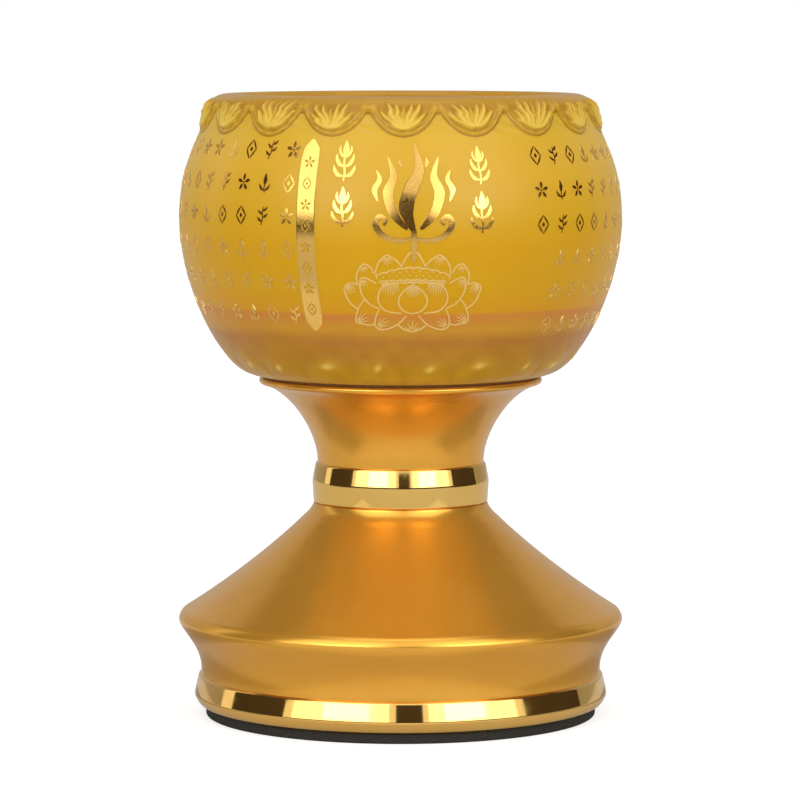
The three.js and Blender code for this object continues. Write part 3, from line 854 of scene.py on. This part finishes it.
class Gilding:
    """Thin raised strokes on the bowl, drawn in millimetres: x round the bowl and y up, from a middle."""

    SECTION = ((-1.0, -0.3), (-0.93, 0.93), (0.0, 1.0), (0.93, 0.93), (1.0, -0.3))

    def __init__(self, thickness, base=0.0):
        self.thickness = thickness
        self.base = base
        self.points = []
        self.faces = []
        self.move(0, 0)

    def move(self, azimuth, height, size=1.0, tilt=0.0):
        """Set the middle of what is drawn next: azimuth in degrees, height above the bowl's foot."""
        self.azimuth = math.radians(azimuth)
        self.height = height
        self.size = size
        self.tilt = math.radians(tilt)

    def place(self, x, y, lift):
        """Points of the drawing, in metres, on the bowl's outer side."""
        turned_x = (x * math.cos(self.tilt) - y * math.sin(self.tilt)) * self.size
        turned_y = (x * math.sin(self.tilt) + y * math.cos(self.tilt)) * self.size
        height = self.height + turned_y
        radius = outer_radius(height)
        lean = np.interp(height, OUTER_HEIGHTS, OUTER_TILTS)
        turn = self.azimuth + turned_x / radius
        out = radius + lift * np.cos(lean)
        up = BOWL_FOOT + height + lift * np.sin(lean)
        return np.stack([out * np.sin(turn), -out * np.cos(turn), up], -1) * MM

    def stroke(self, path, widths, steps=5):
        """A smooth stroke through the path; widths are half widths, spread evenly along it."""
        line = smooth_path(path, steps)
        along = np.gradient(line, axis=0)
        along /= np.maximum(np.hypot(along[:, 0], along[:, 1]), 1e-9)[:, None]
        count = len(line)
        half = np.interp(np.linspace(0, 1, count), np.linspace(0, 1, len(widths)), widths)
        start = len(self.points)
        sides = len(self.SECTION)
        for across, lift in self.SECTION:
            x = line[:, 0] + along[:, 1] * half * across
            y = line[:, 1] - along[:, 0] * half * across
            self.points.extend(self.place(x, y, self.base + lift * self.thickness))
        for i in range(count - 1):
            for k in range(sides):
                a = start + k * count + i
                b = start + (k + 1) % sides * count + i
                self.faces.append((a, b, b + 1, a + 1))
        self.faces.append(tuple(start + k * count for k in reversed(range(sides))))
        self.faces.append(tuple(start + k * count + count - 1 for k in range(sides)))

    def both(self, path, widths, steps=5):
        """A stroke and its mirror image."""
        self.stroke(path, widths, steps)
        self.stroke([(-x, y) for x, y in path], widths, steps)

    def dot(self, x, y, radius):
        self.stroke([(x, y - radius), (x, y), (x, y + radius)], [radius * 0.35, radius, radius * 0.35], 3)

    def finish(self, name, material):
        made = mesh_piece(name, self.points, self.faces, "bowl", material)
        mark_sharp_edges(made, math.radians(10))
        return made


def floret(pen):
    for k in range(5):
        angle = math.radians(90 + 72 * k)
        c, s = math.cos(angle), math.sin(angle)
        pen.stroke([(0.35 * c, 0.35 * s), (0.95 * c, 0.95 * s), (1.5 * c, 1.5 * s)], [0.1, 0.36, 0.12], 2)
    pen.dot(0, 0, 0.22)


def bud(pen):
    pen.stroke([(0.1, -1.7), (-0.05, -0.9), (0, -0.1)], [0.1, 0.13, 0.12], 2)
    pen.stroke([(0, -0.3), (0.06, 0.6), (0, 1.65)], [0.2, 0.5, 0.04], 3)
    pen.both([(0.1, -1.3), (0.75, -0.95), (1.2, -0.15)], [0.08, 0.28, 0.04], 2)


def lozenge(pen):
    pen.both([(0, 1.6), (0.62, 0.8), (1.15, 0)], [0.06, 0.2, 0.1], 2)
    pen.both([(0, -1.6), (0.62, -0.8), (1.15, 0)], [0.06, 0.2, 0.1], 2)
    pen.dot(0, 0, 0.36)


def sprig(pen):
    pen.stroke([(-0.35, -1.6), (0.05, -0.4), (-0.05, 0.7), (0.25, 1.6)], [0.1, 0.13, 0.12, 0.05], 2)
    for x, y, side in ((-0.15, -0.95, -1), (0.05, -0.3, 1), (0.0, 0.3, -1), (0.05, 0.85, 1)):
        leaflet = [(x, y), (x + 0.55 * side, y + 0.25), (x + 1.05 * side, y + 0.75)]
        pen.stroke(leaflet, [0.07, 0.26, 0.04], 2)


def small_ornaments(material):
    """Rows of small ornaments round the bowl, six to a column, that leave the front free."""
    motifs = (floret, bud, lozenge, sprig)
    pen = Gilding(0.05)
    left = [(-29.6 - 7.25 * k, 46.8, 6.44, 6) for k in range(21)]
    right = [(45 + 6.7 * k, 45.6, 6.7, 6) for k in range(21)]
    short = [(38.3, 45.6, 6.7, 3)]
    for column, (azimuth, top, spacing, rows) in enumerate(left + right + short):
        for row in range(rows):
            pen.move(azimuth, top - spacing * row, 1.12)
            motifs[(column * 3 + row * 2 + (column + row) // 5) % len(motifs)](pen)
    return pen.finish("gilt_small_ornaments", material)


def bar_ornament(material, glass):
    """Upright gilt bar with pointed ends, and a chain of florets and lozenges left bare in it."""
    azimuth = -24.3
    middle = 30.2
    half_height = 18.7
    half_width = 1.95
    pen = Gilding(0.05)
    pen.move(azimuth, middle)
    path = [(0, -half_height + 2 * half_height * k / 24) for k in range(25)]
    widths = [half_width * (1 - abs(y / half_height) ** 14) ** 0.5 for _, y in path]
    widths[0] = widths[-1] = 0.25
    pen.stroke(path, widths, 4)
    bar = pen.finish("gilt_bar", material)
    chain = Gilding(0.02, 0.05)
    for k in range(8):
        chain.move(azimuth, middle - 14.4 + 4.1 * k, 0.78)
        (floret if k % 2 else lozenge)(chain)
    return bar, chain.finish("bar_chain", glass)


def flame_ornament(material):
    """Large stylised flame with curled feet, over the lotus."""
    pen = Gilding(0.07)
    pen.move(3.3, 38.7)
    tongue = [(0, -7.4), (-1.5, -3.2), (-0.4, 1.0), (1.1, 4.6), (0.2, 9.5)]
    side_tongue = [(1.3, -7.0), (3.9, -4.0), (5.0, 0.0), (3.9, 3.2), (4.9, 7.0)]
    curl = [(0.2, -8.7), (3.0, -9.2), (5.9, -8.3), (7.5, -6.1), (6.7, -4.5), (5.5, -5.2), (5.9, -6.2)]
    pen.stroke(tongue, [0.4, 1.5, 1.45, 1.0, 0.05], 8)
    pen.both(side_tongue, [0.3, 0.95, 1.1, 0.75, 0.05], 7)
    pen.both([(7.0, -1.6), (7.6, 0.6), (6.6, 2.6), (7.2, 4.4)], [0.1, 0.6, 0.5, 0.05], 6)
    pen.both(curl, [0.3, 0.5, 0.62, 0.62, 0.5, 0.42, 0.3], 6)
    pen.both([(2.3, 5.0), (2.6, 5.8), (2.45, 6.8)], [0.15, 0.42, 0.05], 3)
    pen.stroke([(0, -7.0), (0, -9.4), (0, -11.2), (0, -13.4)], [0.5, 0.62, 0.62, 0.3], 4)
    return pen.finish("gilt_flame", material)


def side_sprigs(material):
    """Two leafy sprigs on each side of the flame."""
    pen = Gilding(0.06)
    left, right = -14.6, 20.6
    places = ((left, 44.9, 1.0), (left, 36.0, 1.0), (right, 44.0, 0.94), (right, 34.9, 1.04))
    for azimuth, height, size in places:
        pen.move(azimuth, height, size)
        pen.stroke([(0, -3.9), (0.15, -2.2), (-0.1, -0.4), (0, 1.0)], [0.16, 0.24, 0.22, 0.2], 4)
        pen.stroke([(0, 0.5), (0.1, 2.1), (0, 3.9)], [0.25, 0.75, 0.05], 5)
        pen.both([(0.15, -3.0), (1.25, -2.7), (1.95, -1.7), (2.1, -0.9)], [0.14, 0.42, 0.34, 0.05], 4)
        pen.both([(0.1, -1.2), (1.0, -0.7), (1.6, 0.3), (1.7, 1.3)], [0.14, 0.42, 0.34, 0.05], 4)
        pen.both([(0.1, 0.6), (0.7, 1.1), (1.15, 2.0), (1.0, 2.9)], [0.1, 0.3, 0.26, 0.05], 4)
    return pen.finish("gilt_sprigs", material)


def lotus_drawing(material):
    """Open lotus flower in thin gilt lines."""
    line = 0.16
    fine = 0.12
    pen = Gilding(0.035)
    pen.move(3.2, 19.4)
    petals = [
        [(2.4, 5.0), (1.5, 6.7), (0.7, 7.75), (0, 8.1)],
        [(2.4, 5.2), (3.4, 6.3), (4.4, 6.95), (5.3, 7.25), (6.6, 6.1), (7.3, 4.4), (7.1, 2.6)],
        [(7.7, 3.7), (8.4, 4.9), (9.7, 5.5), (10.8, 4.2), (11.1, 2.7), (10.8, 1.6)],
        [(10.7, 1.5), (12.3, 1.75), (13.5, 0.9), (13.1, -0.7), (12.2, -2.3), (10.5, -3.5)],
        [(7.2, 1.7), (8.6, 2.5), (10.1, 2.8), (10.4, 1.2), (9.85, -0.7), (8.4, -2.4), (6.5, -3.3)],
        [(3.1, 1.8), (4.6, 1.7), (5.9, 1.1), (6.75, -0.5), (6.6, -2.2), (5.1, -3.75), (2.2, -4.2)],
        [(0, 1.45), (0.8, 1.0), (1.95, 0.1), (2.75, -1.3), (2.5, -2.9), (1.4, -3.9), (0, -4.25)],
        [(9.5, -1.5), (10.4, -2.8), (11.0, -4.6), (10.9, -6.0), (9.6, -6.35), (8.3, -6.6), (7.2, -6.3)],
        [(6.5, -3.4), (7.2, -5.1), (7.15, -6.8), (5.7, -7.5), (3.1, -6.6), (1.2, -4.7)],
        [(3.0, -6.3), (1.6, -7.4), (0, -7.9)],
    ]
    for path in petals:
        pen.both(path, [line * 0.8, line, line * 0.8])
    # Veins fan inwards from each petal's tip: centre, direction, where they start and end, number and spread
    fans = [
        (5.2, 7.2, 265, 0.5, 2.1, 5, 85),
        (9.8, 5.4, 260, 0.5, 1.8, 4, 70),
        (13.4, 1.4, 215, 0.5, 2.7, 5, 60),
        (10.2, 2.7, 240, 0.5, 2.2, 4, 60),
        (4.7, 4.6, 267, 3.1, 5.4, 9, 46),
        (10.9, -6.1, 142, 0.5, 2.9, 4, 55),
        (6.9, -7.1, 138, 0.5, 2.9, 4, 55),
        (0, 4.2, 270, 3.1, 5.4, 9, 36),
        (0, -7.8, 90, 0.5, 2.1, 5, 120),
    ]
    for x, y, toward, near, far, count, spread in fans:
        for k in range(count):
            share = k / (count - 1) - 0.5
            angle = math.radians(toward + spread * share)
            dx, dy = math.cos(angle), math.sin(angle)
            end = near + (far - near) * (1 - 0.6 * abs(share))
            path = [(x + near * dx, y + near * dy), (x + end * dx, y + end * dy)]
            draw = pen.both if x else pen.stroke
            draw(path, [fine, fine * 0.8, fine * 0.3], 3)
    for lift, reach_x, bow in ((4.7, 7.0, 1.5), (2.25, 6.6, 0.3), (1.75, 6.2, 0.2)):
        scallops = []
        for k in range(41):
            x = reach_x * (k / 20 - 1)
            wave = 0.22 * abs(math.sin(math.pi * k / 5))
            scallops.append((x, lift - bow * (x / reach_x) ** 2 + wave))
        pen.stroke(scallops, [line * 0.8, line, line * 0.8], 2)
    for row, (height, count) in enumerate(((4.0, 9), (3.2, 10), (2.5, 9))):
        for k in range(count):
            x = (k - (count - 1) / 2) * 1.3
            pen.dot(x, height - 0.012 * x * x + 0.14 * ((k + row) % 2), 0.16)
    return pen.finish("gilt_lotus", material)


# Stage, light and camera

def camera():
    data = bpy.data.cameras.new("camera")
    data.lens = 193.5
    data.sensor_width = 36
    made = bpy.data.objects.new("camera", data)
    made.location = (-0.12 * MM, -876.66 * MM, 142.36 * MM)
    looks_down = 5.077
    made.rotation_euler = (math.radians(90 - looks_down), 0, 0)
    bpy.context.scene.collection.objects.link(made)
    bpy.context.scene.camera = made


def stage_plane(name, width, tall, location, rotation, material):
    half_w, half_h = width / 2, tall / 2
    corners = [(-half_w, -half_h, 0), (half_w, -half_h, 0), (half_w, half_h, 0), (-half_w, half_h, 0)]
    made = mesh_object(name, corners, [(0, 1, 2, 3)], material)
    made.location = location
    made.rotation_euler = rotation
    return made


def stage_material(name, colour, glow=0.0):
    """Plain matt stage surface; glow lifts it for the eye and, a little, in glass and metal."""
    made = bpy.data.materials.new(name)
    made.use_nodes = True
    tree = made.node_tree
    shader = tree.nodes["Principled BSDF"]
    shader.inputs["Base Color"].default_value = colour
    shader.inputs["Roughness"].default_value = 1.0
    shader.inputs["Specular IOR Level"].default_value = 0.0
    if not glow:
        return made
    shader.inputs["Emission Color"].default_value = (1, 1, 1, 1)
    rays = tree.nodes.new("ShaderNodeLightPath")
    strength = None
    for ray, share in (("Is Camera Ray", 1.0), ("Is Glossy Ray", 0.1), ("Is Transmission Ray", 0.1)):
        added = tree.nodes.new("ShaderNodeMath")
        added.operation = "MULTIPLY_ADD"
        added.inputs[1].default_value = share * glow
        added.inputs[2].default_value = 0
        tree.links.new(rays.outputs[ray], added.inputs[0])
        if strength:
            tree.links.new(strength, added.inputs[2])
        strength = added.outputs[0]
    tree.links.new(strength, shader.inputs["Emission Strength"])
    made.cycles.emission_sampling = "NONE"
    return made


def facing(azimuth, distance, height):
    """Place and turn of an upright panel that faces the object."""
    turn = math.radians(azimuth)
    location = (distance * math.sin(turn), -distance * math.cos(turn), height)
    return location, (math.pi / 2, 0, turn)


def softbox(name, brightness, location, rotation, width, tall):
    """Soft lamp of an even brightness, where 1 is white."""
    data = bpy.data.lights.new(name, "AREA")
    data.shape = "RECTANGLE"
    data.size = width
    data.size_y = tall
    data.energy = brightness * math.pi * width * tall
    made = bpy.data.objects.new(name, data)
    made.location = location
    made.rotation_euler = rotation
    made.visible_camera = False
    bpy.context.scene.collection.objects.link(made)
    return made


def world():
    """White for the camera and in reflections, softer for the light that it casts."""
    made = bpy.data.worlds.new("studio")
    bpy.context.scene.world = made
    made.use_nodes = True
    tree = made.node_tree
    background = tree.nodes["Background"]
    background.inputs["Color"].default_value = (1, 1, 1, 1)
    rays = tree.nodes.new("ShaderNodeLightPath")
    seen = rays.outputs["Is Camera Ray"]
    for ray in ("Is Glossy Ray", "Is Transmission Ray"):
        either = tree.nodes.new("ShaderNodeMath")
        either.operation = "MAXIMUM"
        tree.links.new(seen, either.inputs[0])
        tree.links.new(rays.outputs[ray], either.inputs[1])
        seen = either.outputs[0]
    strength = tree.nodes.new("ShaderNodeMapRange")
    strength.inputs["To Min"].default_value = 0.72
    strength.inputs["To Max"].default_value = 1.0
    tree.links.new(seen, strength.inputs["Value"])
    tree.links.new(strength.outputs["Result"], background.inputs["Strength"])


def seen_in_mirrors_only(made):
    """Let only reflections show a stage panel, so that it takes no light from the object."""
    for ray in ("camera", "diffuse", "shadow", "transmission"):
        setattr(made, f"visible_{ray}", False)


def far_strip(material):
    """Low dark strip round the far end of the room in front: the ground there, and a skirting above it."""
    first, last = -106, 117
    facets = 48
    near, far = 1.25, 3.0
    ground, top = 0.0005, 0.29
    points = []
    for radius, height in ((near, ground), (far, ground), (far, top)):
        for i in range(facets + 1):
            angle = math.radians(first + (last - first) * i / facets)
            points.append((radius * math.sin(angle), -radius * math.cos(angle), height))
    faces = []
    for low in (0, facets + 1):
        for i in range(low, low + facets):
            faces.append((i, i + 1, i + facets + 2, i + facets + 1))
    made = mesh_object("far_strip", points, faces, material)
    seen_in_mirrors_only(made)


def studio():
    world()
    pale = stage_material("stage_pale", (0.5, 0.5, 0.5, 1), 0.645)
    stage_plane("floor", 24, 24, (0, 0, 0), (0, 0, 0), pale)
    for name, azimuth, distance, height, width, tall, brightness in (
        ("softbox_left", -34, 0.9, 0.68, 0.94, 1.1, 1.2),
        ("softbox_right", 41, 0.9, 0.68, 0.86, 1.1, 1.2),
        ("core_left", -30, 0.86, 0.30, 0.4, 0.28, 2.6),
        ("core_right", 36, 0.86, 0.30, 0.36, 0.28, 2.6),
    ):
        softbox(name, brightness, *facing(azimuth, distance, height), width, tall)
    for name, azimuth in (("fill_left", -130), ("fill_right", 130)):
        softbox(name, 1.2, *facing(azimuth, 1.3, 0.6), 0.9, 0.8).visible_glossy = False
    softbox("overhead", 0.9, (0, -0.1, 1.35), (0, 0, 0), 0.7, 0.7)
    dark = stage_material("stage_dark", (0.07, 0.055, 0.045, 1))
    far_strip(dark)
    grey = stage_material("stage_grey", (0.58, 0.56, 0.53, 1))
    seen_in_mirrors_only(stage_plane("screen", 5, 2.6, (0, 1.3, 1.3), (math.pi / 2, 0, 0), grey))
    warm = stage_material("stage_warm", (0.17, 0.11, 0.075, 1))
    for name, azimuth, distance, width, low, high, material in (
        ("flag_left", -86, 0.8, 0.56, 0.0, 0.7, dark),
        ("flag_right", 94, 0.8, 0.65, 0.0, 0.7, dark),
        ("flag_middle", 4.8, 0.93, 0.24, 0.0, 0.36, dark),
        ("flag_high_left", -100, 0.62, 1.0, 0.5, 1.6, warm),
        ("flag_high_right", 100, 0.62, 1.0, 0.5, 1.6, warm),
        ("flag_back_left", -149, 1.0, 0.5, 0.9, 1.8, dark),
        ("flag_back_right", 149, 1.0, 0.5, 0.9, 1.8, dark),
    ):
        location, rotation = facing(azimuth, distance, (low + high) / 2)
        seen_in_mirrors_only(stage_plane(name, width, high - low, location, rotation, material))
    bright = stage_material("stage_bright", (0.74, 0.74, 0.74, 1))
    dim = stage_material("stage_dim", (0.3, 0.28, 0.25, 1))
    for name, x, y, width, deep, material in (
        ("apron_front", 0, -0.09, 0.3, 0.08, bright),
        ("apron_left", -0.08, 0, 0.05, 0.1, dim),
        ("apron_right", 0.08, 0, 0.05, 0.1, dim),
    ):
        seen_in_mirrors_only(stage_plane(name, width, deep, (x, y, 0.4 * MM), (0, 0, 0), material))


camera()
for part in (foam_pad, foot_ring, skirt, cone, collar, neck):
    part()
flat_disc("gasket_soft", "bowl_gasket", SOCKET_RADIUS, 0.24, RUBBER, pressed_out=0.7)
flat_disc("closing_plate", "bottom_plate", 0, 0.25, ZINC)
flat_disc("ballast_casting", "ballast_disc", ROD_HOLE, 0.9, IRON)
flat_disc("seat_plate_steel", "seat_plate", ROD_HOLE, 0.3, ZINC)
flat_disc("washer_top", "top_washer", ROD_HOLE, 0.2, ZINC, SMALL_FACETS)
flat_disc("washer_bottom", "bottom_washer", ROD_HOLE, 0.2, ZINC, SMALL_FACETS)
screw_thread("threaded_rod", "tie_rod")
hex_nut("nut_jam", "jam_nut")
hex_nut("nut_bottom", "bottom_nut")
spring_washer("washer_spring", "spring_washer")
bowl = glass_bowl()
GILT = gilt_finish("gilt_foil", srgb(250, 206, 114), srgb(226, 174, 84), 0.13)
PALE_GILT = gilt_finish("gilt_line", srgb(240, 206, 132), srgb(224, 184, 100), 0.42, 0.5)
small_ornaments(GILT)
bar_ornament(GILT, bowl.data.materials[0])
flame_ornament(GILT)
side_sprigs(GILT)
lotus_drawing(PALE_GILT)
studio()
bpy.context.scene.view_settings.view_transform = "Standard"
